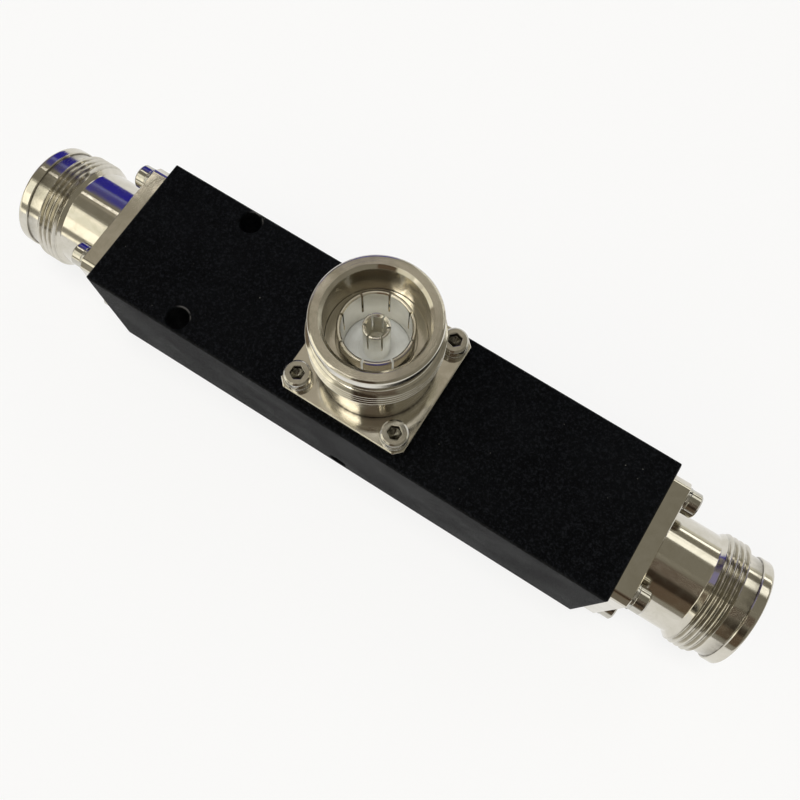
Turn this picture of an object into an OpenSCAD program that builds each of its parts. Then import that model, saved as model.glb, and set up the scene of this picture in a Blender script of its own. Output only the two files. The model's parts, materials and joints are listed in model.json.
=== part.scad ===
// Three-port coaxial power tapper: a square bar with a coaxial line along it,
// a threaded socket connector on each end and a third, for the tap, on top.
// The origin is the centre of the bar's bottom face. X runs along the bar,
// from the input to the output, Y across it and Z up through the tap.

/* [Housing] */
// Length of the bar
body_len = 97.3; // [80:0.1:160]
// Width of the bar
body_w = 25; // [23:0.5:40]
// Height of the bar
body_h = 25; // [23:0.5:40]
// Radius of the bar's softened outer edges
edge_r = 0.55; // [0.2:0.05:0.9]
// Diameter of the bore that the line runs in
line_bore_d = 10; // [9:0.1:10.6]
// How much deeper the spigot's seat is than the spigot is long
spigot_gap = 0.1; // [0.05:0.05:0.5]
// How much deeper the tapped holes are than the screws reach
tapped_spare = 1.1; // [0.5:0.1:2]

/* [Mounting holes] */
// Diameter of the two holes through the top
mount_hole_d = 3.8; // [2.5:0.1:4.2]
// Distance of the two holes from the input end of the bar
mount_hole_inset = 17; // [10:0.1:22]
// Distance of each hole from the nearest side face
mount_hole_edge = 2.3; // [2.2:0.1:4.5]
// Diameter of the hole across the bar
cross_hole_d = 3.4; // [2:0.1:3.8]
// Place of the cross hole along the bar, from the middle
cross_hole_x = -0.5; // [-10:0.5:10]
// Height of the cross hole's axis above the bottom
cross_hole_z = 2.7; // [2.2:0.1:4]
// Chamfer on the mouths of these holes
hole_break = 0.15; // [0.05:0.05:0.3]

/* [Connector flange] */
// Width of the square flange
flange_w = 22.4; // [22:0.1:25]
// Thickness of the flange
flange_t = 3.2; // [2.5:0.1:4.5]
// Chamfer across each corner of the flange
flange_corner = 1.2; // [0.4:0.1:2.5]
// Chamfer round the flange's front face
flange_break = 0.15; // [0.05:0.05:0.4]
// Distance of a screw's axis from the two nearest edges of the flange
screw_edge = 2.45; // [2.3:0.05:2.6]
// Play of a screw in the flange's holes, across the hole
hole_play = 0.3; // [0.1:0.05:0.6]

/* [Connector shell] */
// Diameter of the plain neck behind the thread
neck_d = 18.2; // [17:0.1:18.6]
// Length of the neck
neck_len = 9.1; // [6:0.1:14]
// Length of the undercut at the neck's foot
undercut_len = 0.25; // [0.1:0.05:0.6]
// Depth of that undercut
undercut_depth = 0.15; // [0.05:0.05:0.4]
// Length of the cone from the neck up to the thread
collar_len = 1.1; // [0.6:0.1:2]
// Outer diameter of the coupling thread
thread_d = 20.2; // [19.4:0.1:22]
// Pitch of the coupling thread
thread_pitch = 1; // [0.75:0.05:1.5]
// Length of thread at full diameter
thread_len = 3.5; // [2.5:0.1:6]
// Length of the run-out at the thread's front end
thread_runout = 0.3; // [0.2:0.1:1]
// Diameter of the plain ring in front of the thread
relief_d = 18.3; // [17:0.1:18.4]
// Length of that ring, with the run-out
relief_len = 2.6; // [1.5:0.1:4]
// Diameter of the rim at the mouth
rim_d = 19; // [18.6:0.1:19.2]
// Length of the rim
rim_len = 1.9; // [1:0.1:3]
// Radius of the rim's rounded front edge
rim_round = 0.4; // [0.1:0.05:0.8]
// Bevel on the rim's rear edge
rim_bevel = 0.15; // [0.05:0.05:0.3]
// Diameter of the mouth behind its chamfer
mouth_d = 14.9; // [14:0.1:15.4]
// Depth of the mouth, from the front face to its floor
mouth_depth = 7.3; // [5:0.1:9]
// Chamfer on the mouth's edge
mouth_break = 0.5; // [0.1:0.05:0.7]
// Diameter of the spigot behind the flange
spigot_d = 12.9; // [12.4:0.1:13.2]
// Length of the spigot
spigot_len = 2.2; // [1:0.1:3]
// Free space round the springing part of the outer contact
spring_gap = 0.25; // [0.1:0.05:0.5]

/* [Outer contact] */
// Outer diameter of the slotted ring
outer_contact_d = 11.3; // [11:0.1:12]
// Inner diameter of the slotted ring
outer_contact_id = 10.1; // [9.8:0.1:10.4]
// How far its tip lies behind the shell's front face
outer_contact_set = 3.5; // [2:0.1:5]
// Number of slots
outer_slots = 8; // [4:1:12]
// Width of a slot
outer_slot_w = 0.32; // [0.2:0.02:0.6]
// Length of a slot
outer_slot_len = 5.9; // [3:0.1:6.2]
// Length of the ring that is pressed into the shell
outer_press_len = 2.5; // [1.5:0.1:3]
// Turn of the first slot
outer_slot_turn = 11.3; // [0:0.1:45]

/* [Centre contact] */
// Diameter of the socket
socket_d = 4.05; // [3.6:0.05:4.6]
// Diameter of the hole in the socket
socket_bore_d = 2.85; // [2.2:0.05:3]
// Depth of the hole in the socket
socket_bore_depth = 5.8; // [5:0.1:7]
// How far its tip lies behind the shell's front face
socket_set = 3.1; // [1.5:0.1:4]
// Number of slots
socket_slots = 6; // [3:1:8]
// Width of a slot
socket_slot_w = 0.3; // [0.2:0.02:0.5]
// Length of a slot
socket_slot_len = 5; // [3:0.1:5.4]
// Turn of the first slot
socket_slot_turn = 24.5; // [0:0.5:60]
// Diameter of the stem that passes through the insulator
stem_d = 3; // [2.4:0.1:3.4]
// Diameter of the tail that enters the conductor behind
tail_d = 2; // [1.5:0.1:2.2]
// Length of the tail
tail_len = 3.4; // [2:0.1:5]

/* [Insulator and seal] */
// Height of the insulator's rear face above the bar
insulator_rear = 4; // [3.5:0.1:5]
// Thickness of the insulator's body
insulator_t = 5; // [4.4:0.1:5.4]
// Height of the raised face inside the outer contact
insulator_boss = 0.4; // [0.2:0.1:1.5]
// Diameter of the cord of the flange seal
seal_cord_d = 1.2; // [1:0.05:1.3]
// Depth of the seal's groove
seal_depth = 0.9; // [0.7:0.05:0.95]
// Diameter of the middle of the seal
seal_mid_d = 15.4; // [15:0.1:16]

/* [Flange screws] */
// Diameter of the screw's thread
screw_d = 2.5; // [2:0.1:2.8]
// Length of the screw under its head
screw_len = 8; // [6:0.5:8]
// Diameter of the head
head_d = 4.3; // [4:0.1:4.4]
// Height of the head
head_h = 2; // [1.6:0.1:2.4]
// Radius of the head's rounded top edge
head_round = 0.35; // [0.1:0.05:0.5]
// Size of the hexagon socket across its flats
hex_flats = 2; // [1.6:0.1:2.2]
// Depth of the hexagon socket
hex_depth = 1.1; // [0.8:0.1:1.3]
// Diameter of the spring washer
washer_d = 4.5; // [4.4:0.1:4.6]
// Play of a screw in the washer's hole, across the hole
washer_play = 0.3; // [0.1:0.05:0.5]
// Thickness of the washer
washer_t = 0.5; // [0.3:0.05:0.7]
// Width of the split in the washer
washer_split = 0.35; // [0.2:0.05:0.6]

/* [Conductors] */
// Diameter of the line conductor at its ends
line_d = 4.3; // [3.8:0.1:4.8]
// Diameter of its stepped part
step_d = 5; // [4.8:0.1:5.6]
// Length of its stepped part
step_len = 62; // [40:1:72]
// Diameter of its thick middle
middle_d = 5.8; // [5.6:0.1:6.6]
// Length of its thick middle
middle_len = 26; // [12:1:36]
// Diameter of the tap's conductor
tap_d = 4.3; // [3.8:0.1:4.5]
// Depth of the flat that the tap's conductor stands on
tap_flat = 0.9; // [0.8:0.05:1.2]
// Length of the pin that holds it in the line conductor
tap_pin_len = 2.6; // [1.5:0.1:3]

/* [Hidden] */

$fn = 64;
// radial gap between two turned pieces, one inside the other
slip = 0.02;
// gap left under the end of a pin in its hole
end_gap = 0.2;
// how far a cutting shape runs past the face that it opens
over = 1;
// angle between two neighbouring screws' sockets, so that none match
screw_turn = 23;
// lean of the split in a spring washer
split_lean = 20;
// included angle of a drill's point and of the thread
drill_angle = 118;
thread_angle = 60;
// depth of the thread's rings, as a share of the pitch
thread_share = 0.61;

axis_z = body_h / 2;
mount_hole_x = mount_hole_inset - body_len / 2;
mount_hole_y = body_w / 2 - mount_hole_edge;

// heights above the bar's face, along a connector's own axis
neck_top = flange_t + neck_len;
thread_foot = neck_top + collar_len;
thread_top = thread_foot + thread_len;
rim_foot = thread_top + relief_len;
face_z = rim_foot + rim_len;
floor_z = face_z - mouth_depth;
outer_tip = face_z - outer_contact_set;
outer_foot = insulator_rear + insulator_t;
press_top = outer_foot + outer_press_len;
socket_tip = face_z - socket_set;
insulator_face = outer_foot + insulator_boss;
head_foot = flange_t + washer_t;
screw_pitch = flange_w - 2 * screw_edge;
tapped_depth = screw_len - head_foot + tapped_spare;
spigot_seat = spigot_len + spigot_gap;
insulator_d = outer_contact_d;
tail_foot = insulator_rear - tail_len;

// half the length of the line conductor, up to the rear face of an insulator
line_half = body_len / 2 + insulator_rear;
// height of the flat that the tap's conductor stands on
seat_z = axis_z + middle_d / 2 - tap_flat;

// A rectangle with rounded corners, centred on the origin.
module soft_rect(w, h, r) {
    square([w - 2 * r, h], center = true);
    square([w, h - 2 * r], center = true);
    for (x = [-1, 1], y = [-1, 1])
        translate([x * (w / 2 - r), y * (h / 2 - r)])
            circle(r);
}

// A rectangle from (r0, z0) to (r1, z1), to be turned about the Z axis.
module band(r0, r1, z0, z1) {
    translate([r0, z0])
        square([r1 - r0, z1 - z0]);
}

// A drilled hole down from the origin, with its mouth chamfered.
module drill(d, depth, chamfer) {
    translate([0, 0, -depth])
        cylinder(d = d, h = depth + over);
    translate([0, 0, -chamfer])
        cylinder(d1 = d, d2 = d + 2 * (chamfer + over), h = chamfer + over);
}

// A conical drill point below the origin.
module drill_point(d) {
    depth = d / 2 / tan(drill_angle / 2);
    translate([0, 0, -depth])
        cylinder(d1 = 0, d2 = d, h = depth);
}

// Places the children on the input end, with their Z axis pointing out.
module at_input() {
    translate([-body_len / 2, 0, axis_z])
        rotate([0, -90, 0])
            children();
}

// Places the children on the output end, with their Z axis pointing out.
module at_output() {
    translate([body_len / 2, 0, axis_z])
        rotate([0, 90, 0])
            children();
}

// Places the children on top of the bar, over the middle of the line.
module at_tap() {
    translate([0, 0, body_h])
        children();
}

// Repeats the children at all three ports.
module at_ports() {
    at_input() children();
    at_output() children();
    at_tap() children();
}

// Repeats the children at a flange's four screws, each turned a little further.
module at_screws() {
    for (i = [0 : 3])
        rotate(90 * i + 45)
            translate([screw_pitch / sqrt(2), 0, 0])
                rotate(screw_turn * i)
                    children();
}

// The square bar, softened along all its edges.
module bar() {
    translate([0, 0, axis_z])
        intersection() {
            linear_extrude(body_h, center = true)
                soft_rect(body_len, body_w, edge_r);
            rotate([90, 0, 0])
                linear_extrude(body_w, center = true)
                    soft_rect(body_len, body_h, edge_r);
            rotate([90, 0, 90])
                linear_extrude(body_len, center = true)
                    soft_rect(body_w, body_h, edge_r);
        }
}

// What each port cuts from the bar: the spigot's seat and four tapped holes.
module port_cuts() {
    translate([0, 0, -spigot_seat])
        cylinder(d = spigot_d + 2 * slip, h = spigot_seat + over);
    at_screws() {
        translate([0, 0, -tapped_depth])
            cylinder(d = screw_d + 2 * slip, h = tapped_depth + over);
        translate([0, 0, -tapped_depth])
            drill_point(screw_d + 2 * slip);
    }
}

module housing() {
    color("#16171a")
        difference() {
            bar();
            translate([0, 0, axis_z])
                rotate([0, 90, 0])
                    cylinder(d = line_bore_d, h = body_len + 2 * over, center = true);
            translate([0, 0, axis_z])
                cylinder(d = line_bore_d, h = body_h);
            at_ports() port_cuts();
            for (side = [-1, 1])
                translate([mount_hole_x, side * mount_hole_y, 0]) {
                    translate([0, 0, body_h])
                        drill(mount_hole_d, body_h + over, hole_break);
                    mirror([0, 0, 1])
                        drill(mount_hole_d, over, hole_break);
                }
            for (turn = [0, 180])
                translate([cross_hole_x, 0, cross_hole_z])
                    rotate([0, 0, turn])
                        translate([0, body_w / 2, 0])
                            rotate([-90, 0, 0])
                                drill(cross_hole_d, body_w / 2 + over, hole_break);
        }
}

// The flange's outline: a square with its corners cut off.
module flange_outline(inset) {
    intersection() {
        square(flange_w - 2 * inset, center = true);
        rotate(45)
            square((flange_w - flange_corner) * sqrt(2) - 2 * inset, center = true);
    }
}

// The four long edges and four corner edges cut from the flange's front face.
module flange_edges() {
    side = flange_break * sqrt(2);
    for (turn = [0 : 90 : 270]) {
        rotate(turn)
            translate([flange_w / 2, 0, flange_t])
                rotate([0, 45, 0])
                    cube([side, flange_w, side], center = true);
        rotate(turn + 45)
            translate([(flange_w - flange_corner) / sqrt(2), 0, flange_t])
                rotate([0, 45, 0])
                    cube([side, flange_w / 2, side], center = true);
    }
}

module flange() {
    difference() {
        linear_extrude(flange_t)
            flange_outline(0);
        flange_edges();
        at_screws()
            translate([0, 0, -over])
                cylinder(d = screw_d + hole_play, h = flange_t + 2 * over);
    }
}

// One ring groove of the coupling thread, with its point on the axis side.
module thread_groove() {
    depth = thread_share * thread_pitch;
    half = depth * tan(thread_angle / 2);
    spread = over * tan(thread_angle / 2);
    polygon([
        [thread_d / 2 - depth, 0],
        [thread_d / 2 + over, half + spread],
        [thread_d / 2 + over, -half - spread]
    ]);
}

// Outer outline of the turned barrel in front of the flange.
module barrel_outline() {
    relief = relief_d / 2;
    rim = rim_d / 2;
    band(0, neck_d / 2 - undercut_depth, 0, neck_top);
    band(0, neck_d / 2, flange_t + undercut_len, neck_top);
    difference() {
        polygon([
            [0, neck_top],
            [neck_d / 2, neck_top],
            [thread_d / 2, thread_foot],
            [thread_d / 2, thread_top],
            [relief, thread_top + thread_runout],
            [0, thread_top + thread_runout]
        ]);
        for (z = [thread_foot + thread_pitch / 2 : thread_pitch : thread_top - thread_pitch / 2])
            translate([0, z])
                thread_groove();
    }
    band(0, relief, thread_top, rim_foot + rim_bevel);
    polygon([
        [0, rim_foot],
        [rim - rim_bevel, rim_foot],
        [rim, rim_foot + rim_bevel],
        [rim, face_z - rim_round],
        [0, face_z - rim_round]
    ]);
    band(0, rim - rim_round, rim_foot, face_z);
    translate([rim - rim_round, face_z - rim_round])
        circle(rim_round);
}

// Stepped hole through the shell, from the spigot to the mouth.
module shell_bore() {
    outer = outer_contact_d / 2 + slip;
    mouth = mouth_d / 2;
    band(0, line_bore_d / 2, -spigot_len - over, insulator_rear + over);
    band(0, outer, insulator_rear, press_top + over);
    band(0, outer + spring_gap, press_top, floor_z + over);
    band(0, mouth, floor_z, face_z + over);
    polygon([
        [0, face_z - mouth_break],
        [mouth, face_z - mouth_break],
        [mouth + mouth_break + over, face_z + over],
        [0, face_z + over]
    ]);
}

module shell() {
    color("#b9b2a0")
        difference() {
            union() {
                flange();
                rotate_extrude() {
                    band(0, spigot_d / 2, -spigot_len, neck_top);
                    barrel_outline();
                }
            }
            rotate_extrude() {
                shell_bore();
                band((seal_mid_d - seal_cord_d) / 2, (seal_mid_d + seal_cord_d) / 2, -over, seal_depth);
            }
        }
}

// A tube's wall with its tip rounded over, to be turned about the Z axis.
module rounded_wall(r0, r1, z0, z1) {
    round = (r1 - r0) / 2;
    band(r0, r1, z0, z1 - round);
    translate([r1 - round, z1 - round])
        circle(round);
}

// Thin radial cuts down from z1, to be taken out of a slotted contact.
module slots(count, first, w, reach, len, z1) {
    for (i = [0 : count - 1])
        rotate(first + 360 * i / count)
            translate([0, -w / 2, z1 - len])
                cube([reach, w, len + over]);
}

module outer_contact() {
    color("#d5d4cd")
        difference() {
            rotate_extrude()
                rounded_wall(outer_contact_id / 2, outer_contact_d / 2, outer_foot, outer_tip);
            slots(outer_slots, outer_slot_turn, outer_slot_w, outer_contact_d, outer_slot_len, outer_tip);
        }
}

module center_contact() {
    bore = socket_bore_d / 2;
    lip = (socket_d / 2 - bore) / 2;
    color("#dcdbd3")
        difference() {
            rotate_extrude()
                difference() {
                    union() {
                        band(0, socket_d / 2, insulator_face, socket_tip - lip);
                        band(0, socket_d / 2 - lip, insulator_face, socket_tip);
                        translate([socket_d / 2 - lip, socket_tip - lip])
                            circle(lip);
                        band(0, stem_d / 2, insulator_rear, insulator_face);
                        band(0, tail_d / 2, tail_foot, insulator_rear);
                    }
                    band(-over, bore, socket_tip - socket_bore_depth, socket_tip + over);
                    polygon([
                        [0, socket_tip - lip],
                        [bore, socket_tip - lip],
                        [bore + lip + over, socket_tip + over],
                        [0, socket_tip + over]
                    ]);
                }
            translate([0, 0, socket_tip - socket_bore_depth])
                drill_point(socket_bore_d);
            slots(socket_slots, socket_slot_turn, socket_slot_w, socket_d, socket_slot_len, socket_tip);
        }
}

module insulator() {
    color("#dfe3e6")
        rotate_extrude() {
            band(stem_d / 2 + slip, insulator_d / 2, insulator_rear, outer_foot);
            band(stem_d / 2 + slip, outer_contact_id / 2 - slip, insulator_rear, insulator_face);
        }
}

// The seal is squeezed between the bar and the floor of its groove.
module seal() {
    color("#202020")
        rotate_extrude()
            intersection() {
                translate([seal_mid_d / 2, seal_depth / 2])
                    circle(d = seal_cord_d - 2 * slip);
                band(0, seal_mid_d, 0, seal_depth);
            }
}

module socket_screw() {
    top = head_foot + head_h;
    difference() {
        union() {
            rotate_extrude() {
                band(0, head_d / 2, head_foot, top - head_round);
                band(0, head_d / 2 - head_round, head_foot, top);
                intersection() {
                    translate([head_d / 2 - head_round, top - head_round])
                        circle(head_round);
                    band(0, head_d, 0, top);
                }
            }
            translate([0, 0, head_foot - screw_len])
                cylinder(d = screw_d, h = screw_len + head_h / 2);
        }
        translate([0, 0, top - hex_depth])
            cylinder(d = hex_flats / cos(30), h = hex_depth + over, $fn = 6);
        translate([0, 0, top - hex_depth])
            drill_point(hex_flats);
    }
}

module screws() {
    color("#c9c7c0")
        at_screws()
            socket_screw();
}

module lock_washer() {
    translate([0, 0, flange_t])
        difference() {
            cylinder(d = washer_d, h = washer_t);
            translate([0, 0, -over])
                cylinder(d = screw_d + washer_play, h = washer_t + 2 * over);
            translate([washer_d / 2, 0, washer_t / 2])
                rotate([split_lean, 0, 0])
                    cube([washer_d, washer_split, 4 * washer_t], center = true);
        }
}

module lock_washers() {
    color("#b7b5ae")
        at_screws()
            lock_washer();
}

module line_conductor() {
    tail_hole = tail_len + end_gap;
    color("#c8b98a")
        difference() {
            translate([0, 0, axis_z])
                rotate([0, 90, 0]) {
                    cylinder(d = line_d, h = 2 * line_half, center = true);
                    cylinder(d = step_d, h = step_len, center = true);
                    cylinder(d = middle_d, h = middle_len, center = true);
                }
            for (turn = [0, 180])
                translate([0, 0, axis_z])
                    rotate([0, 90, turn])
                        translate([0, 0, line_half - tail_hole])
                            cylinder(d = tail_d + 2 * slip, h = tail_hole + over);
            translate([0, 0, seat_z])
                cylinder(d = tap_d + 2 * slip, h = middle_d);
            translate([0, 0, seat_z - tap_pin_len - end_gap])
                cylinder(d = tail_d + 2 * slip, h = middle_d);
        }
}

module tap_conductor() {
    top = body_h + insulator_rear;
    color("#c8b98a")
        difference() {
            union() {
                translate([0, 0, seat_z])
                    cylinder(d = tap_d, h = top - seat_z);
                translate([0, 0, seat_z - tap_pin_len])
                    cylinder(d = tail_d, h = tap_pin_len + over);
            }
            translate([0, 0, top - tail_len - end_gap])
                cylinder(d = tail_d + 2 * slip, h = tail_len + over);
        }
}

module input_shell() at_input() shell();
module input_outer_contact() at_input() outer_contact();
module input_center_contact() at_input() center_contact();
module input_insulator() at_input() insulator();
module input_seal() at_input() seal();
module input_screws() at_input() screws();
module input_lock_washers() at_input() lock_washers();

module output_shell() at_output() shell();
module output_outer_contact() at_output() outer_contact();
module output_center_contact() at_output() center_contact();
module output_insulator() at_output() insulator();
module output_seal() at_output() seal();
module output_screws() at_output() screws();
module output_lock_washers() at_output() lock_washers();

module tap_shell() at_tap() shell();
module tap_outer_contact() at_tap() outer_contact();
module tap_center_contact() at_tap() center_contact();
module tap_insulator() at_tap() insulator();
module tap_seal() at_tap() seal();
module tap_screws() at_tap() screws();
module tap_lock_washers() at_tap() lock_washers();

housing();
line_conductor();
tap_conductor();
input_shell();
input_outer_contact();
input_center_contact();
input_insulator();
input_seal();
input_screws();
input_lock_washers();
output_shell();
output_outer_contact();
output_center_contact();
output_insulator();
output_seal();
output_screws();
output_lock_washers();
tap_shell();
tap_outer_contact();
tap_center_contact();
tap_insulator();
tap_seal();
tap_screws();
tap_lock_washers();
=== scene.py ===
import json
import math

import bpy
import numpy as np
from mathutils import Matrix, Vector


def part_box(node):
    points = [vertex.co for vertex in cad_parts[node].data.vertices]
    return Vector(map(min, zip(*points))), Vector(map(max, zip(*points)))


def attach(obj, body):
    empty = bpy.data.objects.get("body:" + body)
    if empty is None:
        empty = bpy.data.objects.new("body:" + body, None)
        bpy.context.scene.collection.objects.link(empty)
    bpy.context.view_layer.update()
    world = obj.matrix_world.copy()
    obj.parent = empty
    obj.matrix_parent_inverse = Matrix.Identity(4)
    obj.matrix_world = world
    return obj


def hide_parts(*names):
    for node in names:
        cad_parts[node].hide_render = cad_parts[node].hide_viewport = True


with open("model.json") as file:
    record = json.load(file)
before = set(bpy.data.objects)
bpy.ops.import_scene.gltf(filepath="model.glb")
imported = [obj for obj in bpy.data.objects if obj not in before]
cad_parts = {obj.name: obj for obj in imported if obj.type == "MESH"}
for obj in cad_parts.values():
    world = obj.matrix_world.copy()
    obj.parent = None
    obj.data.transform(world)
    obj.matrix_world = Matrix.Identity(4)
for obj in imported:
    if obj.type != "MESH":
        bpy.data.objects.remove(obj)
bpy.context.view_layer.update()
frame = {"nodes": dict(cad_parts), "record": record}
mm = 0.001
print("frame loaded")

# view: the camera looks down on the top face and the near side, from above the output half
view = {
    "place": (0.02352, -0.03605, 0.15326), "aim": (0.00424, 0.00074, 0.0125), "rollDegrees": 4.74,
    "lensMm": 38.13, "sensorMm": 36, "near": 0.005, "far": 20,
}


def makeCamera():
    # turned so that -Z meets the aim point, then rolled about the line of sight
    place, aim = Vector(view["place"]), Vector(view["aim"])
    sight = (aim - place).normalized()
    levelRight = sight.cross(Vector((0, 0, 1))).normalized()
    levelUp = levelRight.cross(sight)
    roll = math.radians(view["rollDegrees"])
    right = levelRight * math.cos(roll) + levelUp * math.sin(roll)
    up = right.cross(sight)
    data = bpy.data.cameras.new("camera")
    data.lens, data.sensor_width = view["lensMm"], view["sensorMm"]
    data.clip_start, data.clip_end = view["near"], view["far"]
    camera = bpy.data.objects.new("camera", data)
    turn = Matrix((right, up, -sight)).transposed()
    camera.matrix_world = Matrix.Translation(place) @ turn.to_4x4()
    bpy.context.scene.collection.objects.link(camera)
    bpy.context.scene.camera = camera


makeCamera()
print("camera placed")


def setSockets(tree, node, values):
    # inputs by name or number: a socket as a value makes a link
    for name, value in values.items():
        if isinstance(value, bpy.types.NodeSocket):
            tree.links.new(value, node.inputs[name])
        else:
            node.inputs[name].default_value = value


def addNode(tree, kind, inputs=None, **settings):
    # a shader node with its settings and its inputs
    made = tree.nodes.new("ShaderNode" + kind)
    for name, value in settings.items():
        setattr(made, name, value)
    setSockets(tree, made, inputs or {})
    return made


def sums(tree, operation, *values):
    # one Math node on up to three values
    return addNode(tree, "Math", dict(enumerate(values)), operation=operation).outputs[0]


def vectorSums(tree, operation, *values, output="Vector"):
    # one Vector Math node
    return addNode(tree, "VectorMath", dict(enumerate(values)), operation=operation).outputs[output]


def splitUp(tree, vector):
    # the sockets X, Y and Z of a vector
    return addNode(tree, "SeparateXYZ", {0: vector}).outputs


def joined(tree, x, y, z=0):
    # a vector from its three parts
    return addNode(tree, "CombineXYZ", {"X": x, "Y": y, "Z": z}).outputs[0]


def ramp(tree, value, low, high, toLow=0.0, toHigh=1.0):
    # soft step of a value from low to high
    inputs = {"Value": value, "From Min": low, "From Max": high, "To Min": toLow, "To Max": toHigh}
    return addNode(tree, "MapRange", inputs, interpolation_type="SMOOTHSTEP").outputs["Result"]


def blend(tree, share, under, over):
    # one colour over another, by the share
    under, over = ((*colour, 1) if isinstance(colour, tuple) else colour for colour in (under, over))
    mix = addNode(tree, "Mix", {"Factor": share, "A": under, "B": over}, data_type="RGBA")
    return mix.outputs["Result"]


# studio: a dim warm ceiling with a skylight, a tall window on the near left, two low ones on the far
# side, a blue card on the far left, and a soft lamp overhead; lengths in metres
studio = {
    "centre": (0, 0, 0.0125),
    "distance": 0.7,
    "lampColour": (1, 0.97, 0.9),
    # name: (azimuth, elevation, width, height, radiance)
    "lamps": {
        "topLamp": (-90, 88, 0.24, 0.24, 11),
    },
    "softOnly": ("topLamp",),  # lights matt surfaces and stays out of the metal's reflections
    "ceiling": (0.236, 0.219, 0.175),
    # name: (azimuth, half width, lowest and highest elevation, softness, all in degrees, colour)
    "panels": {
        "farHorizon": (75, 55, -20, 7, 3, (0.72, 0.7, 0.6)),
        "nearHorizon": (-95, 80, -20, 9, 4, (0.3, 0.28, 0.24)),
        "paleCeiling": (132, 30, 57, 82, 4, (0.46, 0.42, 0.345)),
        "zenithGlow": (0, 176, 86, 90, 1.5, (1.4, 1.33, 1.15)),
        "farWindow": (76, 23, 30.5, 47, 0.5, (1.5, 1.47, 1.33)),
        "farSill": (76, 23, 35.2, 35.9, 0.3, (0.75, 0.72, 0.62)),
        "lowWindow": (81, 20, 9.5, 15, 0.5, (2.1, 2.05, 1.85)),
        "purpleWall": (-66, 18, 57, 67, 2, (0.22, 0.18, 0.22)),
        "brownWall": (-75, 16, 11, 39, 2, (0.12, 0.084, 0.055)),
        "darkWall": (-75, 16, 36, 58, 3, (0.036, 0.024, 0.015)),
        "nearGlow": (-102, 14, 8, 40, 3, (0.9, 0.86, 0.7)),
        "window": (-136, 21, -8, 56, 1.5, (1.7, 1.62, 1.36)),
        "windowFoot": (-150, 19, 6, 22, 2, (0.95, 0.9, 0.72)),
        "windowBar": (-120, 11, 6, 18, 1, (0.32, 0.3, 0.25)),
        "windowEdge": (-145, 22, 38, 40, 1, (0.75, 0.7, 0.56)),
        "windowTop": (-145, 22, 40, 53, 1, (1.15, 1.12, 0.95)),
        "skylight": (-118, 21, 60, 78, 1, (3.3, 3.15, 2.75)),
        "nearCeiling": (-55, 30, 56, 76, 3, (0.13, 0.1, 0.075)),
        "blueCard": (123, 13, -8, 27, 1, (0.03, 0.026, 0.33)),
        "blueDusk": (148, 13, -8, 16, 2, (0.08, 0.065, 0.17)),
        "violetWall": (164, 10, 14, 30, 2, (0.26, 0.24, 0.4)),
        "leftWall": (-170, 13, 6, 30, 3, (0.2, 0.155, 0.11)),
        "blueStreak": (123, 13, 28, 32, 1.2, (0.2, 0.22, 0.6)),
        "blueFar": (129, 12, 32, 47, 2, (0.07, 0.065, 0.3)),
        "thinStrip": (149, 5, 52.4, 54.8, 0.5, (4.4, 4.2, 3.8)),
    },
    "zenith": 90,
    "floorSize": 16,
    "floorDrop": 0.00002,  # keeps the floor apart from the bar's underside
    "floorColour": (0.925, 0.94, 0.965),
    "floorGlow": 0.8,
}


def direction(azimuth, elevation):
    # unit vector by its azimuth from +X and its elevation, in degrees
    a, e = math.radians(azimuth), math.radians(elevation)
    return Vector((math.cos(e) * math.cos(a), math.cos(e) * math.sin(a), math.sin(e)))


def makeLamps():
    # each lamp faces the centre from its direction; its power is its radiance by pi and its area
    for name, (azimuth, elevation, width, height, radiance) in studio["lamps"].items():
        data = bpy.data.lights.new(name, "AREA")
        data.shape = "RECTANGLE"
        data.size, data.size_y = width, height
        data.color = studio["lampColour"]
        data.energy = radiance * math.pi * width * height
        lamp = bpy.data.objects.new(name, data)
        away = direction(azimuth, elevation)
        lamp.location = Vector(studio["centre"]) + away * studio["distance"]
        lamp.rotation_euler = away.to_track_quat("Z", "Y").to_euler()
        lamp.visible_camera = False
        lamp.visible_glossy = name not in studio["softOnly"]
        bpy.context.scene.collection.objects.link(lamp)


def makeWorld():
    # the ceiling's colour, with soft-edged panels laid over it by azimuth and elevation. A panel that
    # ends at the zenith has no upper edge. Like the lamp, no panel is seen by the camera itself
    world = bpy.data.worlds.new("studio")
    bpy.context.scene.world = world
    world.use_nodes = True
    tree = world.node_tree
    tree.nodes.clear()
    place = addNode(tree, "TexCoord").outputs["Generated"]
    split = splitUp(tree, place)
    level = vectorSums(tree, "NORMALIZE", joined(tree, split["X"], split["Y"]))
    colour = studio["ceiling"]
    for azimuth, half, low, high, soft, panel in studio["panels"].values():
        facing = vectorSums(tree, "DOT_PRODUCT", level, direction(azimuth, 0), output="Value")
        share = ramp(tree, facing, *(math.cos(math.radians(half + side * soft)) for side in (1, -1)))
        for edge, way in ((low, 1), (high, -1)):
            if edge >= studio["zenith"]:
                continue
            lower, upper = (math.sin(math.radians(edge + side * soft)) for side in (-way, way))
            share = sums(tree, "MULTIPLY", share, ramp(tree, split["Z"], lower, upper))
        colour = blend(tree, share, colour, panel)
    colour = blend(tree, addNode(tree, "LightPath").outputs["Is Camera Ray"], colour, studio["ceiling"])
    background = addNode(tree, "Background", {"Color": colour})
    addNode(tree, "OutputWorld", {"Surface": background.outputs[0]})


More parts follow.
